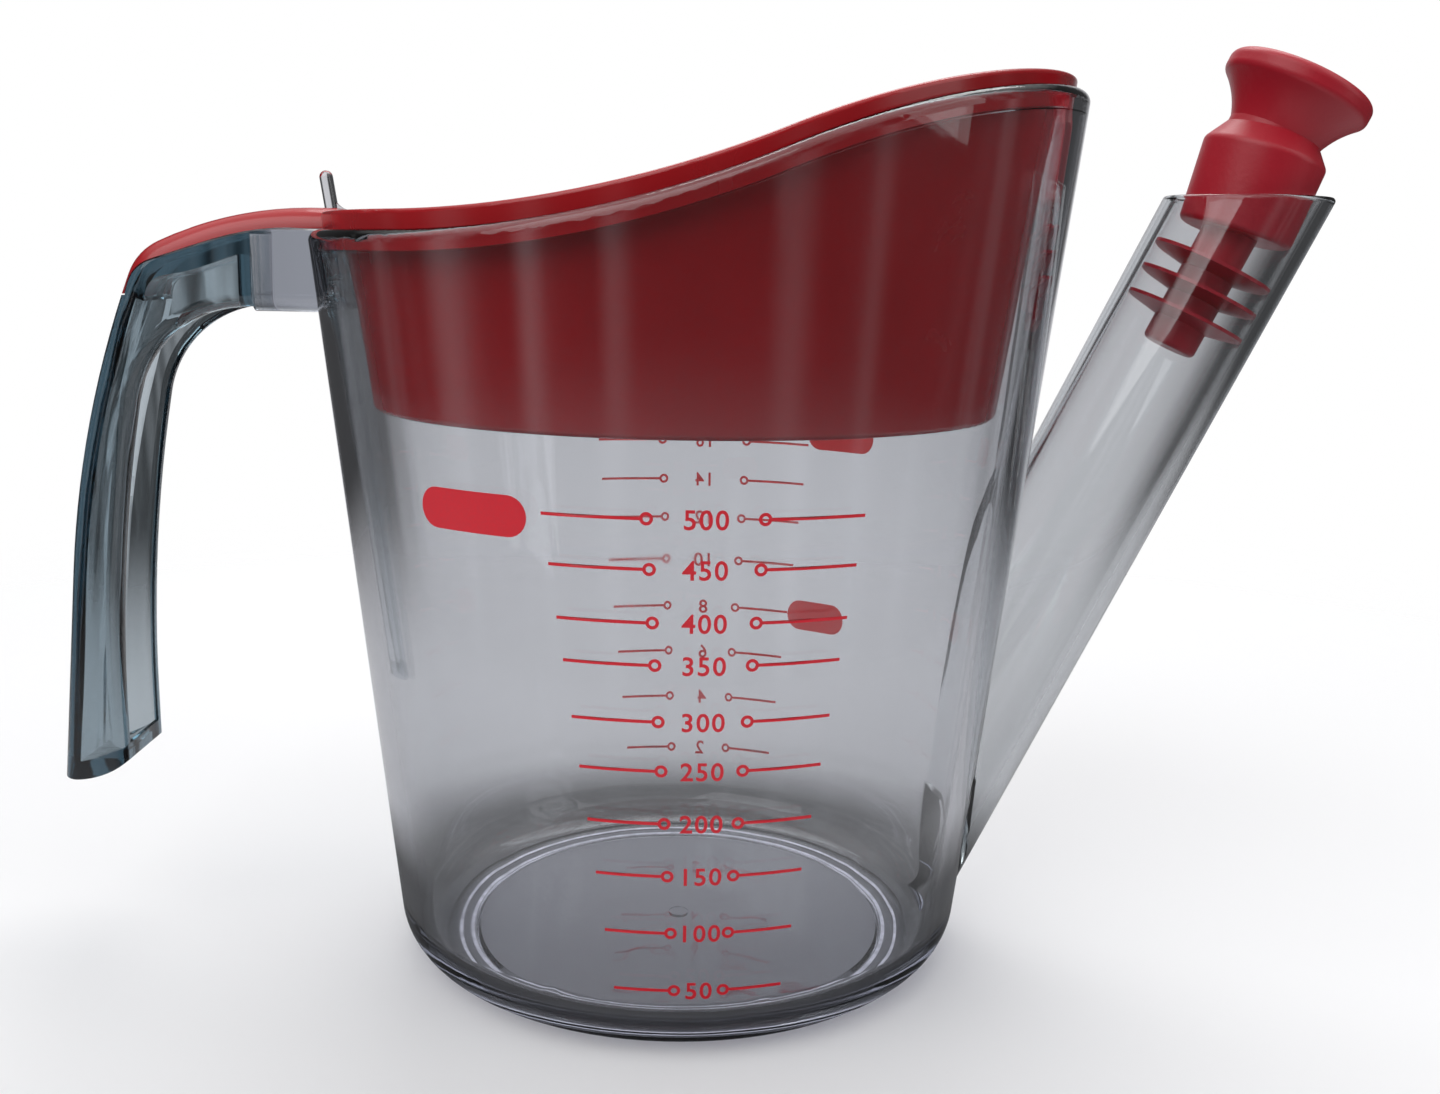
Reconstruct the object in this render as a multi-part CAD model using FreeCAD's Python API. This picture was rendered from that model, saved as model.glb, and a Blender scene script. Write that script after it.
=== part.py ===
import FreeCAD, Part
import math
import os

# A clear jug that parts fat from gravy, with a strainer lid and a stopper for its spout.
# Millimetres and degrees. The origin is on the table under the jug's axis.
# +X points to the spout, -X to the handle, +Z up.

# Jug: a tapered wall on a foot ring
base_radius = 43.6            # outer radius that the wall would have at table height
wall_draft = 6.17             # lean of the wall from upright
jug_wall = 2.8
lip_wall = 2.0                # thinner wall above the ledge that carries the lid
ledge_depth = 2.8             # ledge below the rim
floor_height = 3.2            # inside floor above the table
base_corner = 8.5             # outer rounding between wall and base
inner_corner = 6.5            # inner rounding between wall and floor
foot_inner_radius = 33.2      # narrow ring that the jug stands on
foot_outer_radius = 35.4
foot_depth = 0.8              # recess inside the ring
foot_rise = 0.4               # step outside the ring
gate_radius = 1.6             # moulding mark under the base
gate_height = 0.4

# Rim: low at the handle, then an S curve up to the spout side
rim_low = 110.5
rim_high = 131.9
rise_start_x = -36.0
rise_bend_x = 13.0
rise_end_x = 66.5
rim_round = 1.5               # outer edge only

# Spout: a round tube that leans outwards, joined to the wall along its lower half
spout_radius = 11.25
spout_wall = 1.8
spout_tilt = 25.2             # lean of the tube from upright
spout_foot_x = 33.8           # where the tube's axis starts, inside the wall
spout_foot = 11.5
mouth_height = 118.2
mouth_round = 0.6
port_low = 5.0                # slot through the jug's wall into the foot of the spout
port_high = 22.0

# Handle: a hook that is open at the bottom, with a channel on the jug's side
handle_width = 17.0
handle_round = 3.2            # edges of the hood and the back
inner_edge_round = 2.0        # edges of the jug's side and the end
handle_wall = 2.6
handle_root_x = -63.5         # joint between the jug's boss and the handle
root_depth = 11.4             # from the rim down to the inner arch's start
arch_start_x = -66.6
hood_slope = 1.0
hood_radius = 55.5
hood_turn = 24.0
shoulder_radius = 9.0
shoulder_turn = 43.0
lip_turn = 1.0                # stretch of the bow that the tongue's lip covers
bow_radius = 163.0
bow_turn = 15.4
grip_length = 33.0
arch_slope = 5.4
arch_radius = 17.1
arch_turn = 73.4
inside_bow_radius = 252.0
inside_bow_turn = 11.2
inside_length = 8.0
end_bulge = 1.1               # crown of the slanted end face
boss_margin = 0.7             # how far the jug's boss stands proud of the handle's root
boss_round = 2.4

# Peg on the rim that keys the lid
peg_radius = 1.0
peg_height = 9.0
peg_lean = 8.5
peg_inset = 2.3               # from the wall's outer face to the peg's centre
gusset_reach = 2.6            # web beside the peg, towards the jug's axis
gusset_height = 4.6
gusset_toe = 3.2
gusset_sag = 0.33             # how near its foot and the peg the hollow's middle lies, as a share
gusset_thickness = 1.2

# Strainer lid
ring_rise_low = 2.5           # ring's top above the rim at the handle
ring_rise_high = 1.9
lid_fit = 0.25                # ring to the inside of the lip
lid_gap = 0.25                # between the lid and what it rests on
lid_wall = 2.0
ring_web = 1.8                # step between the ring and the bowl
tongue_thickness = 3.05       # where the tongue leaves the ring
basket_base = 85.8            # underside of the strainer
basket_radius = 47.0
basket_draft = 8.1
basket_corner = 0.9
strainer_thickness = 2.0
hole_radius = 1.75
hole_pitch = 8.5
hole_margin = 5.0             # plain band round the holes
hood_shoulder_thickness = 2.4
hood_lip_thickness = 0.9
slot_clearance = 0.6          # round the peg
lid_round = 0.5

# Stopper, measured along the spout from its mouth
collar_gap = 0.3              # widest part of the collar to bore
collar_base = -6.1
collar_base_inset = 0.7       # the collar is this much narrower at its base
collar_top = 6.4
collar_round = 1.3
collar_lean = 8.0             # the soft collar sits this much more upright than the spout
collar_pivot = -2.0
neck_radius = 6.9
neck_height = 9.4
neck_depth = 3.0              # the knob's foot inside the collar
knob_shift = 1.4              # the knob stands this far towards the jug from the spout's axis
knob_radius = 11.1
knob_height = 16.7            # height of the knob's widest line
knob_half = 1.4               # half the height of the knob's rim
knob_edge = 1.25              # rounding of the knob's rim
knob_flare = 0.5              # hollow of the knob's underside
knob_crown = 0.6
wiper_heights = (-11.4, -15.5, -19.6)
wiper_gap = 0.2
wiper_edge = 0.5
wiper_drop = 1.5
stem_radius = 4.1
stem_end = -25.0
stem_round = 0.8

# Shaping aids, which leave no mark on the object
span = 160.0                  # reach of cutting blocks, larger than the object
trim_margin = 13.0            # cones start this much higher than the rim, and are trimmed to it
drill_margin = 2.0            # holes are drilled from this far outside each face
tolerance = 0.02              # for finding an edge by its place

# Sizes that follow from the others
ring_inset = lip_wall + lid_fit
trim_height = rim_high + trim_margin


def vec(x, y, z):
    return FreeCAD.Vector(x, y, z)


def sine(angle):
    return math.sin(math.radians(angle))


def cosine(angle):
    return math.cos(math.radians(angle))


def tangent(angle):
    return math.tan(math.radians(angle))


def wall_radius(height, inset=0.0):
    return base_radius - inset + height * tangent(wall_draft)


def tapered(inset, low, high):
    lower = wall_radius(low, inset)
    upper = wall_radius(high, inset)
    return Part.makeCone(lower, upper, high - low, vec(0, 0, low))


def edges_at_height(shape, height):
    found = []
    for edge in shape.Edges:
        box = edge.BoundBox
        if abs(box.ZMin - height) < tolerance and abs(box.ZMax - height) < tolerance:
            found.append(edge)
    return found


def prism(edges, half_width):
    """Closed outline in the XZ plane, made as thick as the given width on both sides."""
    face = Part.Face(Part.Wire(edges))
    face.translate(vec(0, -half_width, 0))
    return face.extrude(vec(0, 2 * half_width, 0))


def side_lines(points):
    return [Part.makeLine(vec(a[0], 0, a[1]), vec(b[0], 0, b[1])) for a, b in zip(points, points[1:])]


def side_arc(first, middle, last):
    points = [vec(x, 0, z) for x, z in (first, middle, last)]
    return Part.Arc(*points).toShape()


def side_curve(points):
    curve = Part.BSplineCurve()
    curve.interpolate([vec(x, 0, z) for x, z in points])
    return curve.toShape()


def rim_arcs(low_lift, high_lift):
    """Raised rim line: its two levels, the slope where its arcs meet, and the radii of its arcs."""
    low = rim_low + low_lift
    high = rim_high + high_lift
    slope = 2 * math.degrees(math.atan((high - low) / (rise_end_x - rise_start_x)))
    hollow_radius = (rise_bend_x - rise_start_x) / sine(slope)
    crown_radius = (rise_end_x - rise_bend_x) / sine(slope)
    return low, high, slope, hollow_radius, crown_radius


def above_rim(low_lift, high_lift):
    """Everything above the rim's line, raised by one lift at the handle and one at the spout."""
    low, high, slope, hollow_radius, crown_radius = rim_arcs(low_lift, high_lift)

    def hollow(angle):
        return (rise_start_x + hollow_radius * sine(angle), low + hollow_radius * (1 - cosine(angle)))

    def crown(angle):
        return (rise_end_x - crown_radius * sine(angle), high - crown_radius * (1 - cosine(angle)))

    edges = side_lines([(-span, low), hollow(0)])
    edges.append(side_arc(hollow(0), hollow(slope / 2), hollow(slope)))
    edges.append(side_arc(crown(slope), crown(slope / 2), crown(0)))
    top = rim_high + span
    edges += side_lines([crown(0), (span, high), (span, top), (-span, top), (-span, low)])
    return prism(edges, span)


def line_height(x, low_lift, high_lift):
    low, high, slope, hollow_radius, crown_radius = rim_arcs(low_lift, high_lift)
    if x < rise_start_x:
        return low
    if x < rise_bend_x:
        return low + hollow_radius - math.sqrt(hollow_radius ** 2 - (x - rise_start_x) ** 2)
    return high - crown_radius + math.sqrt(crown_radius ** 2 - (rise_end_x - x) ** 2)


def line_edges(shape, inset, low_lift, high_lift):
    """Edges of a tapered face that follow the rim's raised line."""
    found = []
    for edge in shape.Edges:
        points = [vertex.Point for vertex in edge.Vertexes] + [edge_middle(edge)]
        on_line = all(abs(p.z - line_height(p.x, low_lift, high_lift)) < tolerance for p in points)
        on_face = all(abs(math.hypot(p.x, p.y) - wall_radius(p.z, inset)) < tolerance for p in points)
        if on_line and on_face:
            found.append(edge)
    return found


def edge_middle(edge):
    return edge.valueAt((edge.FirstParameter + edge.LastParameter) / 2)


def trail(start, slope, turns):
    """Tangent arcs that lead away from the jug and bend down, from (radius, turn) pairs.

    Gives the arcs, the start, middle and end of each with the outward normal there, and
    the point and slope where the last one ends.
    """
    arcs = []
    stations = []
    x, z = start
    angle = slope
    for radius, turn in turns:
        centre = (x + radius * sine(angle), z - radius * cosine(angle))
        marks = []
        for part in (0, 0.5, 1):
            normal = (-sine(angle + part * turn), cosine(angle + part * turn))
            marks.append(((centre[0] + radius * normal[0], centre[1] + radius * normal[1]), normal))
        arcs.append(side_arc(*[point for point, normal in marks]))
        stations.append(marks)
        x, z = marks[2][0]
        angle += turn
    return arcs, stations, (x, z), angle


# Top of the hood, where the lid's tongue leaves the ring over the jug's wall
hood_start = (-wall_radius(rim_low), rim_low + lid_gap + tongue_thickness)
hood_arcs, hood_stations, hood_end, hood_end_slope = trail(
    hood_start, hood_slope, [(hood_radius, hood_turn), (shoulder_radius, shoulder_turn), (bow_radius, lip_turn)])
inside_x = -wall_radius(rim_low, 2 * jug_wall)


def hood_underside(gap):
    """Curve under the lid's tongue, which thins towards its lip, moved down by the gap."""
    roof, shoulder, lip = hood_stations
    depths = [
        (roof[0], tongue_thickness),
        (roof[1], (tongue_thickness + hood_shoulder_thickness) / 2),
        (roof[2], hood_shoulder_thickness),
        (shoulder[1], (hood_shoulder_thickness + hood_lip_thickness) / 2),
        (lip[2], hood_lip_thickness),
    ]
    return [(p[0] - n[0] * (depth + gap), p[1] - n[1] * (depth + gap)) for (p, n), depth in depths]


def above_hood(gap):
    """Everything above the tongue's underside, and above the ledge where its lip ends."""
    points = hood_underside(gap)
    inner = (inside_x, points[0][1])
    lip = points[-1]
    ledge = hood_underside(0)[-1][1] - gap
    top = rim_low + span
    edges = side_lines([inner, points[0]]) + [side_curve(points)]
    if gap > 0:
        edges += side_lines([lip, (lip[0], ledge)])
    edges += side_lines([(lip[0], ledge), (-span, ledge), (-span, top), (inside_x, top), inner])
    return prism(edges, span)


# Back of the handle below the hood, and the inner side from the root's arch down
bow_arcs, _, bow_end, bow_end_slope = trail(hood_end, hood_end_slope, [(bow_radius, bow_turn)])
arch_start = (arch_start_x, rim_low - root_depth)
inner_arcs, _, inner_end, inner_end_slope = trail(
    arch_start, arch_slope, [(arch_radius, arch_turn), (inside_bow_radius, inside_bow_turn)])


def run_on(start, slope, length):
    return (start[0] - length * cosine(slope), start[1] - length * sine(slope))


grip_tip = run_on(bow_end, bow_end_slope, grip_length)
grip_corner = run_on(inner_end, inner_end_slope, inside_length)
root_low = run_on(arch_start, arch_slope, (arch_start_x - handle_root_x) / cosine(arch_slope))


def end_points(lift):
    """Crowned end of the handle as three points, moved into the handle by the lift."""
    across = math.dist(grip_tip, grip_corner)
    down = ((grip_corner[1] - grip_tip[1]) / across, (grip_tip[0] - grip_corner[0]) / across)
    middle = ((grip_tip[0] + grip_corner[0]) / 2, (grip_tip[1] + grip_corner[1]) / 2)
    points = []
    for point, crown in ((grip_tip, 0), (middle, end_bulge), (grip_corner, 0)):
        points.append((point[0] + down[0] * (crown - lift), point[1] + down[1] * (crown - lift)))
    return points


def grip_outline():
    """Side view of the hood and the handle in one: back edges, end and inner edges, root edges."""
    back = hood_arcs + bow_arcs + side_lines([bow_end, grip_tip])
    inner = [side_arc(*end_points(0))] + side_lines([grip_corner, inner_end])
    inner += inner_arcs[::-1] + side_lines([arch_start, root_low])
    root = side_lines([root_low, (inside_x, root_low[1]), (inside_x, hood_start[1]), hood_start])
    return back, inner, root


def matching(shape, outline):
    """Edges of a prism that repeat the given edges of its outline."""
    marks = [edge_middle(edge) for edge in outline]
    found = []
    for edge in shape.Edges:
        if edge.BoundBox.YLength < tolerance:
            point = edge_middle(edge)
            if any(point.distanceToPoint(vec(mark.x, point.y, mark.z)) < tolerance for mark in marks):
                found.append(edge)
    return found


def grip_envelope():
    """Hood and handle in one rounded piece, before they part along the tongue's underside."""
    back, inner, root = grip_outline()
    body = prism(back + inner + root, handle_width / 2)
    body = body.makeFillet(handle_round, matching(body, back))
    return body.makeFillet(inner_edge_round, matching(body, inner))


def grip_channel():
    """Hollow of the handle, open towards the jug and closed at the root and at the end."""
    roof = hood_underside(lid_gap + handle_wall)
    normal = (-sine(hood_end_slope), cosine(hood_end_slope))
    bow_start = (hood_end[0] - normal[0] * handle_wall, hood_end[1] - normal[1] * handle_wall)
    arcs, _, arc_end, arc_slope = trail(
        bow_start, hood_end_slope, [(bow_radius - handle_wall, bow_turn)])
    side = run_on(arc_end, arc_slope, grip_length - handle_wall)
    tip, middle, corner = end_points(handle_wall)
    edges = [side_curve(roof)] + side_lines([roof[-1], bow_start]) + arcs
    edges += side_lines([arc_end, side]) + [side_arc(side, middle, corner)]
    edges += side_lines([corner, (roof[0][0], corner[1]), roof[0]])
    hollow = prism(edges, handle_width / 2 - handle_wall)
    root_block = Part.makeBox(span, span, span, vec(handle_root_x - handle_wall, -span / 2, 0))
    return hollow.cut(root_block)


def make_handle():
    jug_side = Part.makeBox(span, span, span, vec(handle_root_x, -span / 2, 0))
    return grip_envelope().cut(jug_side).cut(above_hood(lid_gap)).cut(grip_channel())


def jug_outside():
    outside = tapered(0, 0, trim_height)
    return outside.makeFillet(base_corner, edges_at_height(outside, 0))


def jug_inside():
    """Space inside the jug, wider above the ledge that the lid rests on."""
    inside = tapered(jug_wall, floor_height, trim_height)
    inside = inside.makeFillet(inner_corner, edges_at_height(inside, floor_height))
    lip_space = tapered(lip_wall, floor_height, trim_height).common(above_rim(-ledge_depth, -ledge_depth))
    return inside.fuse(lip_space)


def make_boss():
    """Short arm of the jug that the handle is joined to."""
    half = handle_width / 2 + boss_margin
    depth = rim_low - root_low[1] + boss_margin
    boss = Part.makeBox(inside_x - handle_root_x, 2 * half, depth, vec(handle_root_x, -half, rim_low - depth))
    lower = []
    for edge in boss.Edges:
        box = edge.BoundBox
        if box.YLength < tolerance and box.ZMax < rim_low - depth + tolerance:
            lower.append(edge)
    return boss.makeFillet(boss_round, lower).cut(above_hood(lid_gap))


def gusset_outline():
    """Side view of the web beside the peg: its top is hollow and runs up along the peg."""
    low = -ledge_depth
    toe = (gusset_reach, gusset_toe)
    top = (0, gusset_height)
    hollow = (gusset_reach * gusset_sag, gusset_toe + (gusset_height - gusset_toe) * gusset_sag)
    edges = side_lines([(0, low), (gusset_reach, low), toe])
    return edges + [side_arc(toe, hollow, top)] + side_lines([top, (0, low)])


peg_foot = vec(peg_inset - wall_radius(rim_low), 0, rim_low)


def make_peg():
    """Leaning peg on the rim, with a small gusset on the side of the jug's axis."""
    length = ledge_depth + peg_height - peg_radius
    peg = Part.makeCylinder(peg_radius, length, vec(0, 0, -ledge_depth))
    peg = peg.fuse(Part.makeSphere(peg_radius, vec(0, 0, peg_height - peg_radius)))
    peg.rotate(vec(0, 0, 0), vec(0, 1, 0), -peg_lean)
    gusset = prism(gusset_outline(), gusset_thickness / 2)
    peg = peg.fuse(gusset)
    peg.translate(peg_foot)
    return peg


def make_jug():
    inside = jug_inside()
    shell = jug_outside().cut(inside).cut(above_rim(0, 0))
    shell = shell.makeFillet(rim_round, line_edges(shell, 0, 0, 0))
    recess = Part.makeCone(foot_inner_radius, foot_inner_radius - foot_depth, foot_depth)
    gate = Part.makeCylinder(gate_radius, gate_height, vec(0, 0, foot_depth - gate_height))
    step = Part.makeCylinder(base_radius, foot_rise).cut(Part.makeCylinder(foot_outer_radius, foot_rise))
    shell = shell.cut(recess.cut(gate)).cut(step)
    shell = shell.fuse(make_boss().cut(inside)).fuse(make_peg())
    return shell.cut(spout_port()).removeSplitter()


spout_axis = vec(sine(spout_tilt), 0, cosine(spout_tilt))
mouth_centre = vec(spout_foot_x + (mouth_height - spout_foot) * tangent(spout_tilt), 0, mouth_height)


def spout_rod(radius, foot_height):
    """Rod along the spout's axis, from the given height up past the mouth."""
    reach = (mouth_height - foot_height) / cosine(spout_tilt)
    return Part.makeCylinder(radius, reach + spout_radius, mouth_centre - spout_axis * reach, spout_axis)


def spout_port():
    """Slot through the jug's wall, where gravy enters the spout from the bottom of the jug."""
    bore = spout_rod(spout_radius - spout_wall, -spout_radius)
    band = Part.makeBox(span, span, port_high - port_low, vec(0, -span / 2, port_low))
    return bore.common(band)


def make_spout():
    tube = spout_rod(spout_radius, spout_foot)
    tube = tube.cut(spout_rod(spout_radius - spout_wall, spout_foot - spout_radius))
    above_mouth = Part.makeBox(span, span, span, vec(0, -span / 2, mouth_height))
    tube = tube.cut(above_mouth).cut(jug_outside())
    return tube.makeFillet(mouth_round, edges_at_height(tube, mouth_height))


def strainer_holes():
    """Holes on a triangular grid, inside a plain band."""
    reach = basket_radius - lid_wall - hole_margin
    row_step = hole_pitch * sine(60)
    rows = int(reach / row_step) + 1
    depth = strainer_thickness + 2 * drill_margin
    pins = []
    for row in range(-rows, rows + 1):
        shift = hole_pitch / 2 if row % 2 else 0
        for column in range(-rows - 1, rows + 2):
            x = column * hole_pitch + shift
            y = row * row_step
            if math.hypot(x, y) < reach:
                pins.append(Part.makeCylinder(hole_radius, depth, vec(x, y, basket_base - drill_margin)))
    return Part.makeCompound(pins)


def lid_hollow():
    """Space inside the strainer bowl and inside the ring above it."""
    base = basket_base + strainer_thickness
    lower = basket_radius - lid_wall + strainer_thickness * tangent(basket_draft)
    depth = trim_height - base
    bowl = Part.makeCone(lower, lower + depth * tangent(basket_draft), depth, vec(0, 0, base))
    bowl = bowl.makeFillet(basket_corner, edges_at_height(bowl, base))
    above_web = above_rim(ring_web + lid_gap - ledge_depth, ring_web + lid_gap - ledge_depth)
    ring_space = tapered(ring_inset + lid_wall, basket_base, trim_height).common(above_web)
    return bowl.fuse(ring_space)


def make_lid():
    above_ledge = above_rim(lid_gap - ledge_depth, lid_gap - ledge_depth)
    ring = tapered(ring_inset, basket_base, trim_height).common(above_ledge)
    depth = trim_height - basket_base
    upper = basket_radius + depth * tangent(basket_draft)
    bowl = Part.makeCone(basket_radius, upper, depth, vec(0, 0, basket_base))
    bowl = bowl.makeFillet(basket_corner, edges_at_height(bowl, basket_base))
    body = ring.fuse(bowl).cut(above_rim(ring_rise_low, ring_rise_high)).cut(lid_hollow())
    top = line_edges(body, ring_inset, ring_rise_low, ring_rise_high)
    top += line_edges(body, ring_inset + lid_wall, ring_rise_low, ring_rise_high)
    body = body.makeFillet(lid_round, top)
    tongue = grip_envelope().common(above_hood(0)).cut(lid_hollow())
    return body.fuse(tongue).cut(peg_slot()).cut(strainer_holes()).removeSplitter()


def peg_slot():
    """Slot in the ring and the tongue, clear of the leaning peg and its gusset over the lid's lift."""
    half = peg_radius + slot_clearance
    far = (peg_height + ledge_depth) * tangent(peg_lean)
    near = gusset_reach + slot_clearance
    low = rim_low - ledge_depth
    centre = peg_foot.x
    slot = Part.makeBox(far + near, 2 * half, trim_height - low, vec(centre - far, -half, low))
    end = Part.makeCylinder(half, trim_height - low, vec(centre - far, 0, low))
    return slot.fuse(end)


def turned(points):
    """Piece turned about the spout's axis from (radius, height) corners, heights from the mouth."""
    corners = [vec(radius, 0, height) for radius, height in points]
    face = Part.Face(Part.makePolygon(corners + corners[:1]))
    return face.revolve(vec(0, 0, 0), vec(0, 0, 1), 360)


def ring_edge(shape, radius, height):
    """Circle of a turned piece at the given radius and height."""
    for edge in edges_at_height(shape, height):
        if abs(edge.BoundBox.XLength - 2 * radius) < tolerance:
            return edge
    raise ValueError("no circle at radius %.2f, height %.2f" % (radius, height))


def stopper_collar(radius):
    """Plug that fills the mouth, with a sloping shoulder, leaning towards the jug."""
    collar = turned([
        (0, collar_base), (radius - collar_base_inset, collar_base), (radius, collar_top),
        (neck_radius, neck_height), (0, neck_height),
    ])
    collar = collar.makeFillet(collar_round, [ring_edge(collar, radius, collar_top)])
    collar = collar.makeFillet(stem_round, [ring_edge(collar, radius - collar_base_inset, collar_base)])
    collar.rotate(vec(0, 0, collar_pivot), vec(0, 1, 0), -collar_lean)
    return collar


def stopper_knob():
    """Flared grip: a neck with a hollow cone on it, and a rounded, slightly crowned disc."""
    base = knob_height - knob_half
    top = knob_height + knob_half
    neck = vec(neck_radius, 0, neck_height)
    brim = vec(knob_radius, 0, base)
    chord = brim - neck
    hollow = (neck + brim) * 0.5 + vec(-chord.z, 0, chord.x) * (knob_flare / chord.Length)
    foot = vec(neck_radius, 0, neck_height - neck_depth)
    side = [Part.makeLine(foot, neck), Part.Arc(neck, hollow, brim).toShape()]
    ends = [brim, vec(knob_radius, 0, top), vec(0, 0, top + knob_crown), vec(0, 0, foot.z), foot]
    side += [Part.makeLine(a, b) for a, b in zip(ends, ends[1:])]
    knob = Part.Face(Part.Wire(side)).revolve(vec(0, 0, 0), vec(0, 0, 1), 360)
    knob = knob.makeFillet(knob_edge, [ring_edge(knob, knob_radius, base), ring_edge(knob, knob_radius, top)])
    knob.translate(vec(-knob_shift, 0, 0))
    return knob


def make_stopper():
    bore_radius = spout_radius - spout_wall
    wiper_radius = bore_radius - wiper_gap
    stem = Part.makeCylinder(stem_radius, -stem_end, vec(0, 0, stem_end))
    stem = stem.makeFillet(stem_round, edges_at_height(stem, stem_end))
    wipers = []
    for height in wiper_heights:
        wipers.append(turned([
            (0, height), (wiper_radius, height), (wiper_radius, height - wiper_edge),
            (stem_radius, height - wiper_drop), (0, height - wiper_drop),
        ]))
    stopper = stopper_collar(bore_radius - collar_gap).fuse([stopper_knob(), stem] + wipers)
    stopper = stopper.removeSplitter()
    stopper.rotate(vec(0, 0, 0), vec(0, 1, 0), spout_tilt)
    stopper.translate(mouth_centre)
    return stopper


makers = {
    "jug_body": make_jug,
    "spout_tube": make_spout,
    "handle": make_handle,
    "strainer_lid": make_lid,
    "spout_stopper": make_stopper,
}

os.makedirs("parts", exist_ok=True)
for name, make in makers.items():
    solid = make()
    print(name, "valid", solid.isValid(), "solids", len(solid.Solids), "faces", len(solid.Faces),
          "volume", round(solid.Volume / 1000, 2), "ml")
    solid.exportStep("parts/%s.step" % name)
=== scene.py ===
# %% [markdown]
# A clear gravy separator with a red strainer lid.
#
# The jug, its spout and its handle are clear plastic, the lid is a glossy red moulding and the
# stopper is soft red rubber. The measured model gives every size here, so this lesson is about
# finishes: how clear plastic gets its dark outlines, how thin ink is wrapped round a cone, and
# how soft studio light is built for things that one can see through.

# %% Load the measured model
import math
import bmesh
import bpy
from mathutils import Matrix, Vector


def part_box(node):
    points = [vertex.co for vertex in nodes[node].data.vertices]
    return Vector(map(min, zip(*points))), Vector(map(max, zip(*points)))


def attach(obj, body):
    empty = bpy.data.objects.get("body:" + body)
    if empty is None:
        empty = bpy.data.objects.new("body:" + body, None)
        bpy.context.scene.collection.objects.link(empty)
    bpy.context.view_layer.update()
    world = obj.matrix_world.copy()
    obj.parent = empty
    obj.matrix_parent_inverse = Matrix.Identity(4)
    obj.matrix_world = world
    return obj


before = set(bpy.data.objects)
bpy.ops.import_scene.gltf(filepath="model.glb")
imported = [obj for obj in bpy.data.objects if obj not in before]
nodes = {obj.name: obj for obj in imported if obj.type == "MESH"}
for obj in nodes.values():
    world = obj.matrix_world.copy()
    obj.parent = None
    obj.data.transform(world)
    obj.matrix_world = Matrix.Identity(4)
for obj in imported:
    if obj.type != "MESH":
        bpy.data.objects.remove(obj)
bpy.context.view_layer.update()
MM = 0.001
print("nodes", sorted(nodes))

# %% [markdown]
# The camera stands close to the jug, a little above its rim, and looks slightly down. Close
# cameras make near things large, so its place matters as much as its lens: the lens alone could
# give the same picture size from further back, but then the spout and the handle would look
# flatter. The camera's three axes are worked out from two angles, its pitch and its small roll.

# %% Place the camera
CAMERA_PLACE = Vector((5.66, -226.0, 107.93)) * MM
CAMERA_PITCH = math.radians(11.21)
CAMERA_ROLL = math.radians(-1.14)
SENSOR_WIDTH = 36.0
LENS = 36.65

forward = Vector((0.0, math.cos(CAMERA_PITCH), -math.sin(CAMERA_PITCH)))
level = Vector((1.0, 0.0, 0.0))
down = Vector((0.0, -math.sin(CAMERA_PITCH), -math.cos(CAMERA_PITCH)))
right = level * math.cos(CAMERA_ROLL) + down * math.sin(CAMERA_ROLL)
up = level * math.sin(CAMERA_ROLL) - down * math.cos(CAMERA_ROLL)

camera_data = bpy.data.cameras.new("camera")
camera_data.sensor_width = SENSOR_WIDTH
camera_data.lens = LENS
camera_data.clip_start = 0.01
camera_data.dof.use_dof = False
camera = bpy.data.objects.new("camera", camera_data)
turned = Matrix((right, up, -forward)).transposed().to_4x4()
camera.matrix_world = Matrix.Translation(CAMERA_PLACE) @ turned
bpy.context.scene.collection.objects.link(camera)
bpy.context.scene.camera = camera
print("camera looks along", [round(value, 3) for value in forward])

# %% [markdown]
# A material is a small network of nodes. These three helpers keep the lessons below short: one
# starts a material, one adds a node with its plain values, and one wires two nodes together.
# A value that is the same all over the surface is typed into the socket. Only what changes over
# the surface, such as a smudge, gets nodes of its own.

# %% Helpers for materials
def new_material(name):
    material = bpy.data.materials.new(name)
    material.use_nodes = True
    tree = material.node_tree
    tree.nodes.clear()
    return material, tree


def add_node(tree, kind, **values):
    node = tree.nodes.new(kind)
    for name, value in values.items():
        socket = name.replace("_", " ")
        if socket in node.inputs:
            node.inputs[socket].default_value = value
        else:
            setattr(node, name, value)
    return node


def wire(tree, output, socket):
    tree.links.new(output, socket)


# %% [markdown]
# Moulded plastic is never quite flat: the melt leaves long soft waves, and they bend what is
# seen through the wall. Handling leaves smudges, which show as patches that are a little less
# shiny. Both are needed by several materials here, so each is a node group: built once, placed
# in each material, and given its own numbers there.

# %% Node groups for moulded plastic
SMUDGE_STARTS = 0.5               # noise below this leaves the surface clean
SMUDGE_FULL = 0.8


def group_socket(tree, name, direction, default=0.0):
    """Socket for one number, into the group (INPUT) or out of it (OUTPUT)."""
    socket = tree.interface.new_socket(name=name, in_out=direction, socket_type="NodeSocketFloat")
    socket.default_value = default


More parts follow.
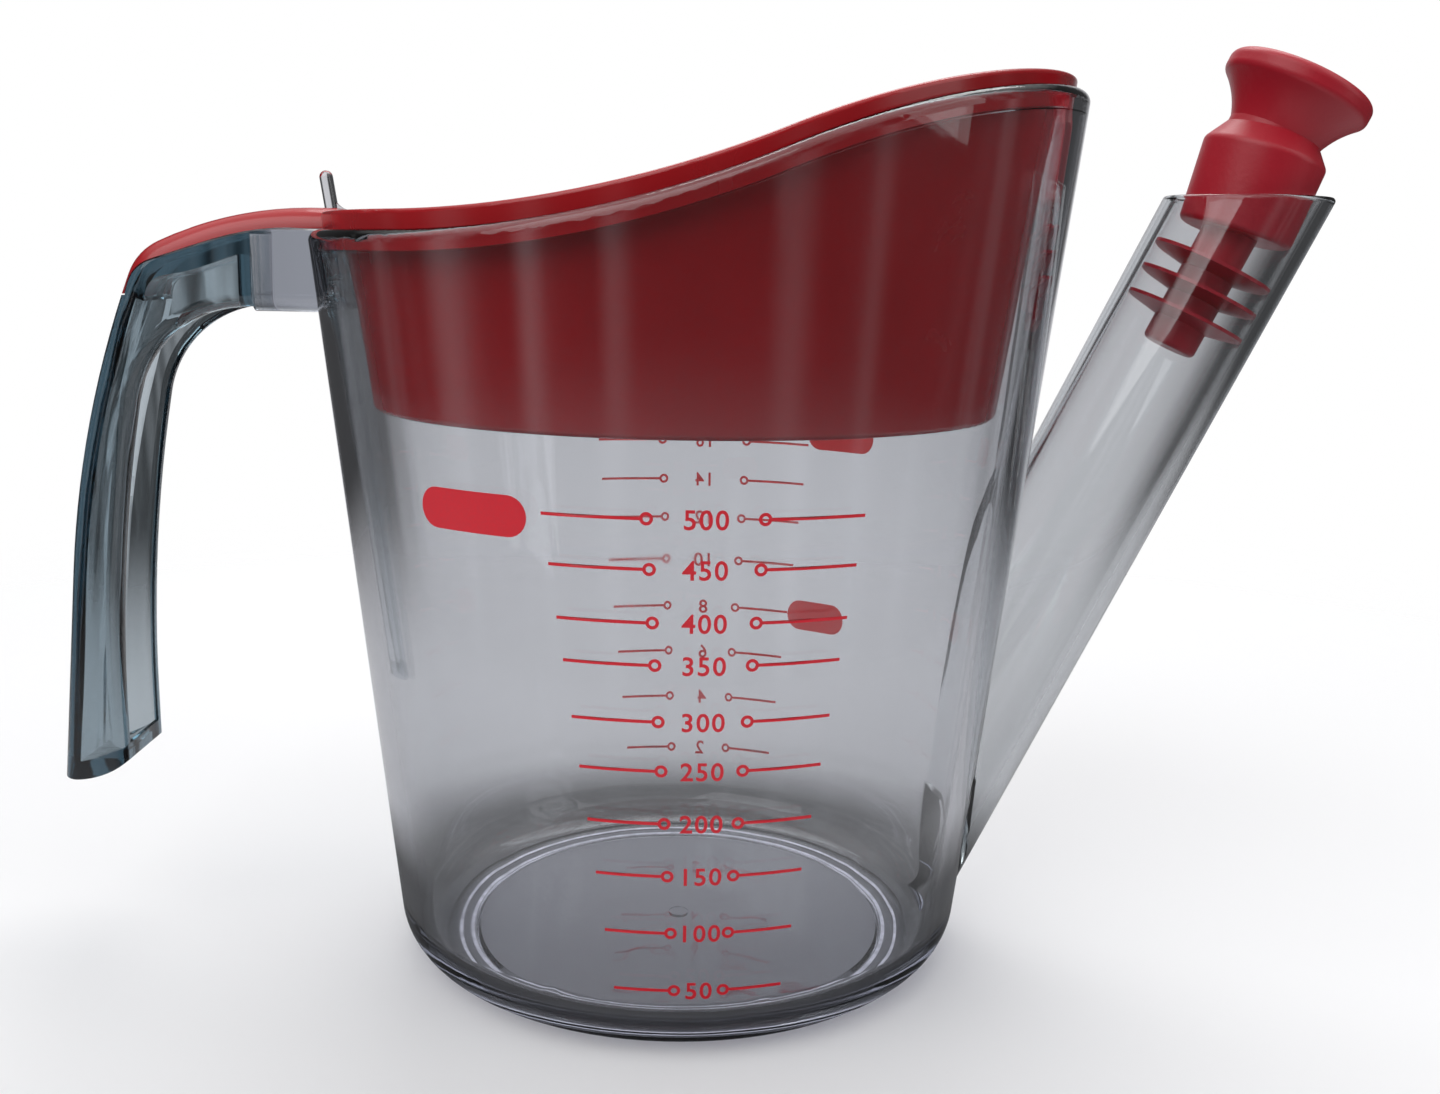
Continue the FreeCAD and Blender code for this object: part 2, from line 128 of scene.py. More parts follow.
def moulding_waves_group():
    tree = bpy.data.node_groups.new("moulding waves", "ShaderNodeTree")
    group_socket(tree, "Waves per metre", "INPUT", default=40.0)
    group_socket(tree, "Stretch along Z", "INPUT", default=0.35)
    group_socket(tree, "Height", "OUTPUT")
    inside = tree.nodes.new("NodeGroupInput")
    result = tree.nodes.new("NodeGroupOutput")
    place = add_node(tree, "ShaderNodeTexCoord")
    stretch = add_node(tree, "ShaderNodeCombineXYZ", X=1.0, Y=1.0)
    scaled = add_node(tree, "ShaderNodeVectorMath", operation="MULTIPLY")
    noise = add_node(tree, "ShaderNodeTexNoise", Detail=1.5, Roughness=0.45)
    wire(tree, inside.outputs["Stretch along Z"], stretch.inputs["Z"])
    wire(tree, place.outputs["Object"], scaled.inputs[0])
    wire(tree, stretch.outputs[0], scaled.inputs[1])
    wire(tree, scaled.outputs[0], noise.inputs["Vector"])
    wire(tree, inside.outputs["Waves per metre"], noise.inputs["Scale"])
    wire(tree, noise.outputs["Fac"], result.inputs["Height"])
    return tree


def smudges_group():
    tree = bpy.data.node_groups.new("handling smudges", "ShaderNodeTree")
    group_socket(tree, "Patches per metre", "INPUT", default=60.0)
    group_socket(tree, "Clean", "INPUT", default=0.02)
    group_socket(tree, "Smudged", "INPUT", default=0.1)
    group_socket(tree, "Roughness", "OUTPUT")
    inside = tree.nodes.new("NodeGroupInput")
    result = tree.nodes.new("NodeGroupOutput")
    place = add_node(tree, "ShaderNodeTexCoord")
    noise = add_node(tree, "ShaderNodeTexNoise", Detail=5.0, Roughness=0.6, Distortion=0.6)
    patches = add_node(
        tree, "ShaderNodeMapRange", interpolation_type="SMOOTHSTEP",
        From_Min=SMUDGE_STARTS, From_Max=SMUDGE_FULL)
    wire(tree, place.outputs["Object"], noise.inputs["Vector"])
    wire(tree, inside.outputs["Patches per metre"], noise.inputs["Scale"])
    wire(tree, noise.outputs["Fac"], patches.inputs["Value"])
    wire(tree, inside.outputs["Clean"], patches.inputs["To Min"])
    wire(tree, inside.outputs["Smudged"], patches.inputs["To Max"])
    wire(tree, patches.outputs["Result"], result.inputs["Roughness"])
    return tree


moulding_waves = moulding_waves_group()
handling_smudges = smudges_group()


def place_group(tree, group, **values):
    node = tree.nodes.new("ShaderNodeGroup")
    node.node_tree = group
    for name, value in values.items():
        node.inputs[name.replace("_", " ")].default_value = value
    return node


print("groups", [group.name for group in bpy.data.node_groups])

# %% [markdown]
# Clear plastic lets light through, bends it, and mirrors a little of it. The bending gives the
# dark outlines: near the edge of the wall one looks sideways into the dark part of the room.
# A thin wall takes a little light and a thick one takes more, so the grey of this plastic is a
# volume absorption, in amount per metre, and not a colour on its surface. Lamps cannot shine
# through a refracting wall in a path tracer without a lot of noise, so shadow rays meet a plain
# see-through shader instead. The handle is welded to the boss on the jug. Two faces that only
# touch would mirror like cut glass, but a weld does not show, so both are see-through there.

# %% Clear plastic
PLASTIC_IOR = 1.57
PLASTIC_COLOUR = (0.98, 0.985, 0.99, 1.0)
SHADOW_COLOUR = (0.85, 0.85, 0.87, 1.0)    # what passes each face on its way from a lamp
WAVE_STRETCH = 0.12               # below 1, so the waves run up the wall
WELD_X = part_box("handle")[1].x    # where the handle's flat end meets the boss
WELD_REACH = 0.02 * MM


def clear_plastic(name, absorbs, amount_per_metre, wave_height, waves_per_metre):
    material, tree = new_material(name)
    waves = place_group(
        tree, moulding_waves, Waves_per_metre=waves_per_metre, Stretch_along_Z=WAVE_STRETCH)
    smudges = place_group(tree, handling_smudges, Patches_per_metre=55.0, Clean=0.01, Smudged=0.07)
    bump = add_node(tree, "ShaderNodeBump", Strength=1.0, Distance=wave_height)
    plastic = add_node(
        tree, "ShaderNodeBsdfPrincipled", Base_Color=PLASTIC_COLOUR, IOR=PLASTIC_IOR,
        Transmission_Weight=1.0)
    shade = add_node(tree, "ShaderNodeBsdfTransparent", Color=SHADOW_COLOUR)
    path = add_node(tree, "ShaderNodeLightPath")
    place = add_node(tree, "ShaderNodeTexCoord")
    across = add_node(tree, "ShaderNodeSeparateXYZ")
    weld = add_node(tree, "ShaderNodeMath", operation="COMPARE")
    weld.inputs[1].default_value = WELD_X
    weld.inputs[2].default_value = WELD_REACH
    open_here = add_node(tree, "ShaderNodeMath", operation="MAXIMUM")
    mix = add_node(tree, "ShaderNodeMixShader")
    volume = add_node(tree, "ShaderNodeVolumeAbsorption", Color=absorbs, Density=amount_per_metre)
    output = add_node(tree, "ShaderNodeOutputMaterial")
    wire(tree, waves.outputs["Height"], bump.inputs["Height"])
    wire(tree, bump.outputs["Normal"], plastic.inputs["Normal"])
    wire(tree, smudges.outputs["Roughness"], plastic.inputs["Roughness"])
    wire(tree, place.outputs["Object"], across.inputs[0])
    wire(tree, across.outputs["X"], weld.inputs[0])
    wire(tree, weld.outputs[0], open_here.inputs[0])
    wire(tree, path.outputs["Is Shadow Ray"], open_here.inputs[1])
    wire(tree, open_here.outputs[0], mix.inputs[0])
    wire(tree, plastic.outputs[0], mix.inputs[1])
    wire(tree, shade.outputs[0], mix.inputs[2])
    wire(tree, mix.outputs[0], output.inputs["Surface"])
    wire(tree, volume.outputs[0], output.inputs["Volume"])
    return material


jug_plastic = clear_plastic(
    "clear_jug_plastic", absorbs=(0.48, 0.51, 0.57, 1.0), amount_per_metre=90.0,
    wave_height=0.18 * MM, waves_per_metre=60.0)
spout_plastic = clear_plastic(
    "clear_spout_plastic", absorbs=(0.46, 0.52, 0.55, 1.0), amount_per_metre=110.0,
    wave_height=0.16 * MM, waves_per_metre=60.0)
handle_plastic = clear_plastic(
    "clear_handle_plastic", absorbs=(0.3, 0.47, 0.54, 1.0), amount_per_metre=230.0,
    wave_height=0.6 * MM, waves_per_metre=150.0)
print("weld is see-through at x", round(WELD_X / MM, 2), "mm")

# %% [markdown]
# The lid is a polished red moulding with a faint swirl in its colour. The stopper is a softer
# red rubber: less shiny, with a fine grain from its mould.

# %% Red lid and red rubber
def red_moulding(name, pale, deep, clean, smudged, grain_per_metre, grain_height, coat):
    material, tree = new_material(name)
    smudges = place_group(tree, handling_smudges, Patches_per_metre=70.0, Clean=clean, Smudged=smudged)
    waves = place_group(tree, moulding_waves, Waves_per_metre=90.0, Stretch_along_Z=0.5)
    colour = add_node(tree, "ShaderNodeMix", data_type="RGBA")
    colour.inputs["A"].default_value = deep
    colour.inputs["B"].default_value = pale
    grain = add_node(tree, "ShaderNodeTexNoise", Scale=grain_per_metre, Detail=3.0, Roughness=0.6)
    place = add_node(tree, "ShaderNodeTexCoord")
    bump = add_node(tree, "ShaderNodeBump", Strength=1.0, Distance=grain_height)
    plastic = add_node(
        tree, "ShaderNodeBsdfPrincipled", IOR=1.5, Coat_Weight=coat, Coat_Roughness=0.12)
    output = add_node(tree, "ShaderNodeOutputMaterial")
    wire(tree, waves.outputs["Height"], colour.inputs["Factor"])
    wire(tree, colour.outputs["Result"], plastic.inputs["Base Color"])
    wire(tree, place.outputs["Object"], grain.inputs["Vector"])
    wire(tree, grain.outputs["Fac"], bump.inputs["Height"])
    wire(tree, bump.outputs["Normal"], plastic.inputs["Normal"])
    wire(tree, smudges.outputs["Roughness"], plastic.inputs["Roughness"])
    wire(tree, plastic.outputs[0], output.inputs["Surface"])
    return material


lid_red = red_moulding(
    "red_lid_plastic", pale=(0.48, 0.01, 0.016, 1.0), deep=(0.38, 0.007, 0.01, 1.0),
    clean=0.2, smudged=0.32, grain_per_metre=2600.0, grain_height=0.002 * MM, coat=0.2)
stopper_red = red_moulding(
    "red_stopper_rubber", pale=(0.5, 0.014, 0.03, 1.0), deep=(0.42, 0.01, 0.024, 1.0),
    clean=0.38, smudged=0.52, grain_per_metre=1600.0, grain_height=0.03 * MM, coat=0.0)
print("reds", lid_red.name, "and", stopper_red.name)

# %% [markdown]
# Each piece of the measured model has one slot for a material, and gets its finish there.

# %% Finish the measured pieces
FINISHES = {
    "jug_body": jug_plastic,
    "spout_tube": spout_plastic,
    "handle": handle_plastic,
    "strainer_lid": lid_red,
    "spout_stopper": stopper_red,
}
for node_name, finish in FINISHES.items():
    for material_slot in nodes[node_name].material_slots:
        material_slot.material = finish
    print(node_name, "is finished in", finish.name)

# %% [markdown]
# The measuring scale is red ink on the outside of the wall. The wall is a cone, so each mark is
# drawn flat first, with how far it lies round the wall and how high above the table, and is then
# wrapped: the distance becomes an angle, and the height gives the radius there. The ink stands
# a few hundredths of a millimetre proud, so it needs no picture and casts its own thin edge.

# %% Wrap flat shapes round the wall
WALL_BASE_RADIUS = 43.6 * MM      # the wall's radius if it ran down to the table
WALL_DRAFT = math.radians(6.17)
INK_THICKNESS = 0.05 * MM
INK_LIFT = 0.01 * MM              # keeps the ink's back off the plastic


def wall_radius(height):
    return WALL_BASE_RADIUS + height * math.tan(WALL_DRAFT)


def on_wall(along, height, lift, facing):
    """Point on the wall, a distance to the right of its facing direction and at a height."""
    radius = wall_radius(height) + lift
    angle = facing + along / radius
    return Vector((radius * math.cos(angle), radius * math.sin(angle), height))


def ink_slab(outline, inner=None):
    """Flat ink with a closed outline, or a ring between two outlines with as many points each."""
    shape = bmesh.new()
    low = INK_LIFT
    high = INK_LIFT + INK_THICKNESS
    count = len(outline)
    rims = [outline] if inner is None else [outline, inner]
    layers = [[[shape.verts.new((x, y, z)) for x, y in rim] for z in (low, high)] for rim in rims]
    if inner is None:
        shape.faces.new(layers[0][1])
        shape.faces.new(layers[0][0][::-1])
    for index in range(count):
        following = (index + 1) % count
        for bottom, top in layers:
            shape.faces.new((bottom[index], bottom[following], top[following], top[index]))
        if inner is not None:
            (outer_low, outer_high), (inner_low, inner_high) = layers
            shape.faces.new((
                outer_high[index], outer_high[following], inner_high[following], inner_high[index]))
            shape.faces.new((
                outer_low[index], inner_low[index], inner_low[following], outer_low[following]))
    bmesh.ops.recalc_face_normals(shape, faces=shape.faces)
    return shape


def circle(x, y, radius, count=20):
    turns = [2 * math.pi * step / count for step in range(count)]
    return [(x + radius * math.cos(turn), y + radius * math.sin(turn)) for turn in turns]


def bar(left, right, height, width, steps=12):
    """Thin horizontal line with square ends, in steps so that it can bend round the wall."""
    half = width / 2
    xs = [left + (right - left) * step / steps for step in range(steps + 1)]
    return [(x, height - half) for x in xs] + [(x, height + half) for x in xs[::-1]]


wall_radii = [round(wall_radius(height) / MM, 2) for height in (0.0, 100.0 * MM)]
print("wall radius in mm at the table and at 100 mm", wall_radii)

# %% [markdown]
# Every mark is a thin line that ends in a small ring beside its number. The heights are read
# off the real scale and are not quite even, because each mark holds the same volume in a jug
# that widens upwards, and because of how it was printed. Towards the top the rings stand
# further from the numbers and the lines get longer, at a steady rate.

# %% Marks of the scale
FRONT_FACING = math.radians(-90.0)
SCALE_OFFSET = 3.95 * MM          # the numbers' centre, to the right of the jug's middle
MARK_HEIGHTS = {
    500: 76.7 * MM, 450: 70.3 * MM, 400: 63.4 * MM, 350: 57.8 * MM, 300: 50.2 * MM,
    250: 43.4 * MM, 200: 36.0 * MM, 150: 28.4 * MM, 100: 20.0 * MM, 50: 11.3 * MM,
}
LINE_WIDTH = 0.42 * MM
RING_RADIUS = 0.85 * MM
RING_HOLE = 0.42 * MM
LINE_START = 0.98 * RING_RADIUS   # just inside the ring's edge, so that the two meet
RING_SPREAD = (2.6 * MM, 0.061)   # from the numbers' centre: at the table, and per height
LINE_LENGTH = (7.2 * MM, 0.08)    # likewise, from the ring to the end of its line


def steady(start_and_rate, height):
    return start_and_rate[0] + start_and_rate[1] * height


def join_shapes(name, shapes, facing, offset):
    """Flat shapes as one object, wrapped round the wall."""
    whole = bmesh.new()
    for shape in shapes:
        flat = bpy.data.meshes.new("flat")
        shape.to_mesh(flat)
        shape.free()
        whole.from_mesh(flat)
        bpy.data.meshes.remove(flat)
    for vert in whole.verts:
        vert.co = on_wall(vert.co.x + offset, vert.co.y, vert.co.z, facing)
    mesh = bpy.data.meshes.new(name)
    whole.to_mesh(mesh)
    whole.free()
    piece = bpy.data.objects.new(name, mesh)
    bpy.context.scene.collection.objects.link(piece)
    return piece


def mark_shapes(height, ring_spread, line_length):
    """The ring and line on both sides of a number, as flat shapes."""
    shapes = []
    spread = steady(ring_spread, height)
    length = steady(line_length, height)
    for side in (-1, 1):
        centre = side * spread
        inner = centre + side * LINE_START
        outer = centre + side * length
        shapes.append(ink_slab(circle(centre, height, RING_RADIUS), circle(centre, height, RING_HOLE)))
        shapes.append(ink_slab(bar(min(inner, outer), max(inner, outer), height, LINE_WIDTH)))
    return shapes


front_shapes = []
for height in MARK_HEIGHTS.values():
    front_shapes += mark_shapes(height, RING_SPREAD, LINE_LENGTH)
front_marks = join_shapes("front_scale_marks", front_shapes, FRONT_FACING, SCALE_OFFSET)
print("front marks", len(front_marks.data.vertices), "points")

# %% [markdown]
# The numbers start as Blender's own lettering, which gives clean outlines with a little
# thickness. As text they would stay flat, so they are turned into a mesh and wrapped like the
# marks.

# %% Numbers of the scale
NUMBER_SIZE = 3.5 * MM            # lettering size that gives digits 2.5 mm tall
NUMBER_DROP = 0.36                # from the middle of a digit to its foot, in lettering sizes
NUMBER_BOLD = 0.05 * MM           # how far each outline is pushed out
NUMBER_SPACING = 1.12
SAME_POINT = 0.001 * MM           # corners closer than this are made one


def number_shape(number, height):
    """A number as a flat shape, centred on a height."""
    letters = bpy.data.curves.new("digits", "FONT")
    letters.body = str(number)
    letters.size = NUMBER_SIZE
    letters.align_x = "CENTER"
    letters.offset = NUMBER_BOLD
    letters.space_character = NUMBER_SPACING
    letters.resolution_u = 4
    letters.extrude = INK_THICKNESS / 2
    holder = bpy.data.objects.new("digits", letters)
    bpy.context.scene.collection.objects.link(holder)
    bpy.context.view_layer.update()
    graph = bpy.context.evaluated_depsgraph_get()
    flat = bpy.data.meshes.new_from_object(holder.evaluated_get(graph))
    bpy.data.objects.remove(holder)
    bpy.data.curves.remove(letters)
    shape = bmesh.new()
    shape.from_mesh(flat)
    bpy.data.meshes.remove(flat)
    foot = height - NUMBER_SIZE * NUMBER_DROP
    bmesh.ops.translate(shape, verts=shape.verts, vec=(0.0, foot, INK_LIFT + INK_THICKNESS / 2))
    bmesh.ops.remove_doubles(shape, verts=shape.verts, dist=SAME_POINT)
    return shape


number_shapes = [number_shape(number, height) for number, height in MARK_HEIGHTS.items()]
front_numbers = join_shapes("front_scale_numbers", number_shapes, FRONT_FACING, SCALE_OFFSET)
print("front numbers", len(front_numbers.data.vertices), "points")

# %% [markdown]
# To the left of the top mark sits a solid pill of ink. It is left plain here.

# %% Plain ink pill
PILL_CENTRE = (-27.0 * MM, 75.9 * MM)
PILL_SIZE = (16.7 * MM, 5.4 * MM)


def pill_outline(centre, size, count=12):
    radius = size[1] / 2
    reach = size[0] / 2 - radius
    points = []
    for side, start in ((1, -90), (-1, 90)):
        for step in range(count + 1):
            turn = math.radians(start + 180 * step / count)
            points.append((
                centre[0] + side * reach + radius * math.cos(turn),
                centre[1] + radius * math.sin(turn)))
    return points


def pill_shape(centre, size, strips=16):
    """Pill in upright strips, so that its face bends with the wall."""
    shape = ink_slab(pill_outline(centre, size))
    for strip in range(1, strips):
        x = centre[0] - size[0] / 2 + size[0] * strip / strips
        cut = shape.verts[:] + shape.edges[:] + shape.faces[:]
        bmesh.ops.bisect_plane(shape, geom=cut, plane_co=(x, 0, 0), plane_no=(1, 0, 0))
    return shape


front_pill = join_shapes("front_scale_pill", [pill_shape(PILL_CENTRE, PILL_SIZE)], FRONT_FACING, 0.0)
print("pill", len(front_pill.data.polygons), "faces")

# %% [markdown]
# The far side of the jug has a second scale in another unit. It is the same kind of drawing,
# turned to face the other way, so the two sides share every function and differ only in their
# numbers. It is seen through the jug, reversed, as a blurred pattern behind the front scale.

# %% Second scale on the far side
BACK_FACING = math.radians(90.0)
BACK_OFFSET = -2.4 * MM
BACK_HEIGHTS = {
    16: 73.9 * MM, 14: 66.6 * MM, 12: 59.4 * MM, 10: 51.4 * MM,
    8: 42.5 * MM, 6: 33.9 * MM, 4: 25.2 * MM, 2: 15.4 * MM,
}
BACK_SPREAD = (4.6 * MM, 0.05)
BACK_LENGTH = (8.2 * MM, 0.06)
BACK_PILLS = [                    # centre, and length and height
    ((-30.5 * MM, 75.9 * MM), (14.5 * MM, 5.4 * MM)),
    ((-26.2 * MM, 42.3 * MM), (12.5 * MM, 5.4 * MM)),
]

back_shapes = []
for number, height in BACK_HEIGHTS.items():
    back_shapes += mark_shapes(height, BACK_SPREAD, BACK_LENGTH)
    back_shapes.append(number_shape(number, height))
back_marks = join_shapes("back_scale_marks", back_shapes, BACK_FACING, BACK_OFFSET)
pill_shapes = [pill_shape(centre, size) for centre, size in BACK_PILLS]
back_pills = join_shapes("back_scale_pills", pill_shapes, BACK_FACING, 0.0)
print("back marks", len(back_marks.data.vertices), "points")

# %% [markdown]
# Printed ink is slightly uneven, with a soft sheen. It gets the smudge group for its sheen, and
# a small change of depth in its red. The ink in front is nearly solid. The ink on the far wall
# is seen from behind, so it is thin and lets most light through: solid, it would look brown.

# %% Ink
def ink_material(name, strong, thin, passes_light):
    material, tree = new_material(name)
    place = add_node(tree, "ShaderNodeTexCoord")
    noise = add_node(tree, "ShaderNodeTexNoise", Scale=2500.0, Detail=2.0, Roughness=0.5)
    colour = add_node(tree, "ShaderNodeMix", data_type="RGBA")
    colour.inputs["A"].default_value = strong
    colour.inputs["B"].default_value = thin
    smudges = place_group(tree, handling_smudges, Patches_per_metre=400.0, Clean=0.35, Smudged=0.5)
    ink = add_node(tree, "ShaderNodeBsdfPrincipled", IOR=1.5, Transmission_Weight=passes_light)
    output = add_node(tree, "ShaderNodeOutputMaterial")
    wire(tree, place.outputs["Object"], noise.inputs["Vector"])
    wire(tree, noise.outputs["Fac"], colour.inputs["Factor"])
    wire(tree, colour.outputs["Result"], ink.inputs["Base Color"])
    wire(tree, smudges.outputs["Roughness"], ink.inputs["Roughness"])
    wire(tree, ink.outputs[0], output.inputs["Surface"])
    return material


front_ink = ink_material(
    "red_ink", strong=(0.95, 0.016, 0.035, 1.0), thin=(0.82, 0.03, 0.05, 1.0), passes_light=0.05)
back_ink = ink_material(
    "thin_red_ink", strong=(0.95, 0.03, 0.035, 1.0), thin=(0.85, 0.05, 0.05, 1.0), passes_light=0.85)
PRINTED = {
    front_ink: [front_marks, front_numbers, front_pill],
    back_ink: [back_marks, back_pills],
}
for ink, pieces in PRINTED.items():
    for piece in pieces:
        piece.data.materials.append(ink)
        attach(piece, "jug")
    print(ink.name, "is on", [piece.name for piece in pieces])

# %% [markdown]
# The jug is slid over tables and shelves, so the two edges of its foot ring are scuffed white.
# The bright white of these edges is only partly that wear: the rest is a painted highlight, for
# the light that the foot's slanted edges bend towards the camera. Scuffs scatter light instead
# of bending it, and clear plastic cannot do that by itself. So the edges are two thin white
# rings of their own, set just inside the plastic, with gaps where the wear and the highlight
# are fainter: their alpha comes from noise. Their faint glow is painted light too: it stands for
# the light that clear plastic pipes down to its edges, which takes more bounces than a render
# can spend.

# %% Worn edges of the foot, partly a painted highlight
FOOT_EDGES = [                    # inner and outer radius, and height, in mm
    (33.35, 33.95, 0.06), (35.5, 36.1, 0.46),
]
FOOT_STEPS = 128
# The white of these rings is partly wear and partly a painted highlight; both follow this noise.
WEAR_AND_HIGHLIGHT_NOISE = (0.35, 0.7)          # noise where the wear starts, and where it is full
WEAR_AND_HIGHLIGHT_ALPHA = (0.45, 0.95)         # how solid the white is at those two
# Painted glow: emission in the rings that stands for light they do not get in the render.
PAINTED_GLOW = 0.35


def worn_edges():
    mesh = bpy.data.meshes.new("foot_wear_and_highlight")
    whole = bmesh.new()
    for inner, outer, height in FOOT_EDGES:
        rims = [circle(0.0, 0.0, radius * MM, FOOT_STEPS) for radius in (outer, inner)]
        ring = ink_slab(*rims)
        bmesh.ops.translate(ring, verts=ring.verts, vec=(0.0, 0.0, height * MM))
        ring.to_mesh(mesh)
        ring.free()
        whole.from_mesh(mesh)
    whole.to_mesh(mesh)
    whole.free()
    wear = bpy.data.objects.new("foot_wear_and_highlight", mesh)
    bpy.context.scene.collection.objects.link(wear)
    return wear


def worn_plastic():
    material, tree = new_material("worn_plastic")
    place = add_node(tree, "ShaderNodeTexCoord")
    noise = add_node(tree, "ShaderNodeTexNoise", Scale=160.0, Detail=4.0, Roughness=0.7)
    wear_and_highlight_amount = add_node(
        tree, "ShaderNodeMapRange", interpolation_type="SMOOTHSTEP",
        From_Min=WEAR_AND_HIGHLIGHT_NOISE[0], From_Max=WEAR_AND_HIGHLIGHT_NOISE[1], To_Min=WEAR_AND_HIGHLIGHT_ALPHA[0], To_Max=WEAR_AND_HIGHLIGHT_ALPHA[1])
    # The white base is partly wear and partly a painted highlight, and the emission is a painted glow.
    plastic = add_node(
        tree, "ShaderNodeBsdfPrincipled", Base_Color=(0.9, 0.9, 0.95, 1.0), Roughness=0.45,
        Emission_Color=(0.9, 0.9, 1.0, 1.0), Emission_Strength=PAINTED_GLOW)
    output = add_node(tree, "ShaderNodeOutputMaterial")
    wire(tree, place.outputs["Object"], noise.inputs["Vector"])
    wire(tree, noise.outputs["Fac"], wear_and_highlight_amount.inputs["Value"])
    wire(tree, wear_and_highlight_amount.outputs["Result"], plastic.inputs["Alpha"])
    wire(tree, plastic.outputs[0], output.inputs["Surface"])
    return material


foot_wear_and_highlight = worn_edges()
foot_wear_and_highlight.data.materials.append(worn_plastic())
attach(foot_wear_and_highlight, "jug")
print("foot wear", len(foot_wear_and_highlight.data.polygons), "faces")

# %% [markdown]
# The room starts with a pale floor that fades into a plain white sky, so that no horizon cuts
# the picture. It lies a hair below the foot, because two faces in one plane would blotch.

# %% Floor
FLOOR_RADIUS = 1.2
FLOOR_DROP = 0.05 * MM

floor_mesh = bpy.data.meshes.new("floor")
floor_shape = bmesh.new()
bmesh.ops.create_circle(floor_shape, cap_ends=True, segments=96, radius=FLOOR_RADIUS)
floor_shape.to_mesh(floor_mesh)
floor_shape.free()
floor = bpy.data.objects.new("floor", floor_mesh)
floor.location.z = -FLOOR_DROP
bpy.context.scene.collection.objects.link(floor)
print("floor is", 2 * FLOOR_RADIUS, "metres across")

# %% [markdown]
# The fade is a mix with a see-through shader, by the distance from the jug. The plastic and the
# lamps meet a darker floor than the camera does, because a white floor shining up would wash
# out the reds and the dark outlines of the base. That darker floor has a painted shadow round
# the foot, which shows as a dark arc behind the jug's floor.

# %% Finish of the floor
FADE_START = 0.13                 # metres from the jug's axis
FADE_END = 0.42
FLOOR_SEEN = (0.86, 0.86, 0.87, 1.0)
FLOOR_MIRRORED_AND_SHADOW = [                # metres from the jug's axis, and the grey there
    # from 0.037 to 0.062 metres the grey is a painted shadow of the jug round its foot
    (0.0, 0.42), (0.034, 0.4), (0.037, 0.08), (0.062, 0.08), (0.085, 0.5),
]
COOL = 1.04                       # blue of each grey in a ramp, as a share of its red


def set_ramp(ramp, steps):
    """Fill a colour ramp from places between 0 and 1 and their greys."""
    stops = ramp.color_ramp.elements
    while len(stops) < len(steps):
        stops.new(0.5)
    for index, (place, grey) in enumerate(steps):
        stops[index].position = place
        stops[index].color = (grey, grey, grey * COOL, 1.0)


def pale_floor():
    material, tree = new_material("pale_floor")
    place = add_node(tree, "ShaderNodeTexCoord")
    distance = add_node(tree, "ShaderNodeVectorMath", operation="LENGTH")
    mirrored_and_shadow = add_node(tree, "ShaderNodeValToRGB")
    set_ramp(mirrored_and_shadow, FLOOR_MIRRORED_AND_SHADOW)
    path = add_node(tree, "ShaderNodeLightPath")
    colour = add_node(tree, "ShaderNodeMix", data_type="RGBA")
    colour.inputs["B"].default_value = FLOOR_SEEN
    surface = add_node(tree, "ShaderNodeBsdfPrincipled", Roughness=0.6)
    fade = add_node(
        tree, "ShaderNodeMapRange", interpolation_type="SMOOTHSTEP",
        From_Min=FADE_START, From_Max=FADE_END)
    gone = add_node(tree, "ShaderNodeBsdfTransparent")
    mix = add_node(tree, "ShaderNodeMixShader")
    output = add_node(tree, "ShaderNodeOutputMaterial")
    wire(tree, place.outputs["Object"], distance.inputs[0])
    wire(tree, distance.outputs["Value"], mirrored_and_shadow.inputs[0])
    wire(tree, mirrored_and_shadow.outputs["Color"], colour.inputs["A"])
    wire(tree, path.outputs["Is Camera Ray"], colour.inputs["Factor"])
    wire(tree, colour.outputs["Result"], surface.inputs["Base Color"])
    wire(tree, distance.outputs["Value"], fade.inputs["Value"])
    wire(tree, fade.outputs["Result"], mix.inputs[0])
    wire(tree, surface.outputs[0], mix.inputs[1])
    wire(tree, gone.outputs[0], mix.inputs[2])
    wire(tree, mix.outputs[0], output.inputs["Surface"])
    return material


floor_mesh.materials.append(pale_floor())
print("floor fades from", FADE_START, "to", FADE_END, "metres")

# %% [markdown]
# Clear plastic has hardly any look of its own: it shows the room, bent and mirrored. So the room
# is drawn with care here. It has a grey back wall, dark sides that draw the outlines, and a few
# upright soft boxes that leave long streaks on the wall of the jug. One colour ramp goes round
# the room by compass angle, starting and ending behind the jug.

# %% Walls of the room
BACK_WALL = 0.66
DARK_SIDE = 0.06
SOFT_BOXES = [                    # centre and width in degrees from the camera's side, and grey
    (-100.0, 8.0, 0.3), (-74.0, 22.0, 0.5), (-46.0, 14.0, 0.55), (-20.0, 12.0, 0.35),
    (33.0, 18.0, 0.3), (58.0, 10.0, 0.3), (100.0, 8.0, 0.3),
]
BACK_WALL_FADES = [(-164.0, -157.0), (164.0, 150.0)]    # where it starts and ends to darken


def wall_steps():
    """Grey of the room's walls by compass angle, as places round a full turn."""
    left, right = BACK_WALL_FADES
    steps = [(left[0], BACK_WALL), (left[1], DARK_SIDE)]
    for centre, width, grey in SOFT_BOXES:
        steps += [(centre - width / 2, DARK_SIDE), (centre, grey), (centre + width / 2, DARK_SIDE)]
    steps += [(right[1], DARK_SIDE), (right[0], BACK_WALL)]
    return [(0.5 + angle / 360.0, grey) for angle, grey in steps]


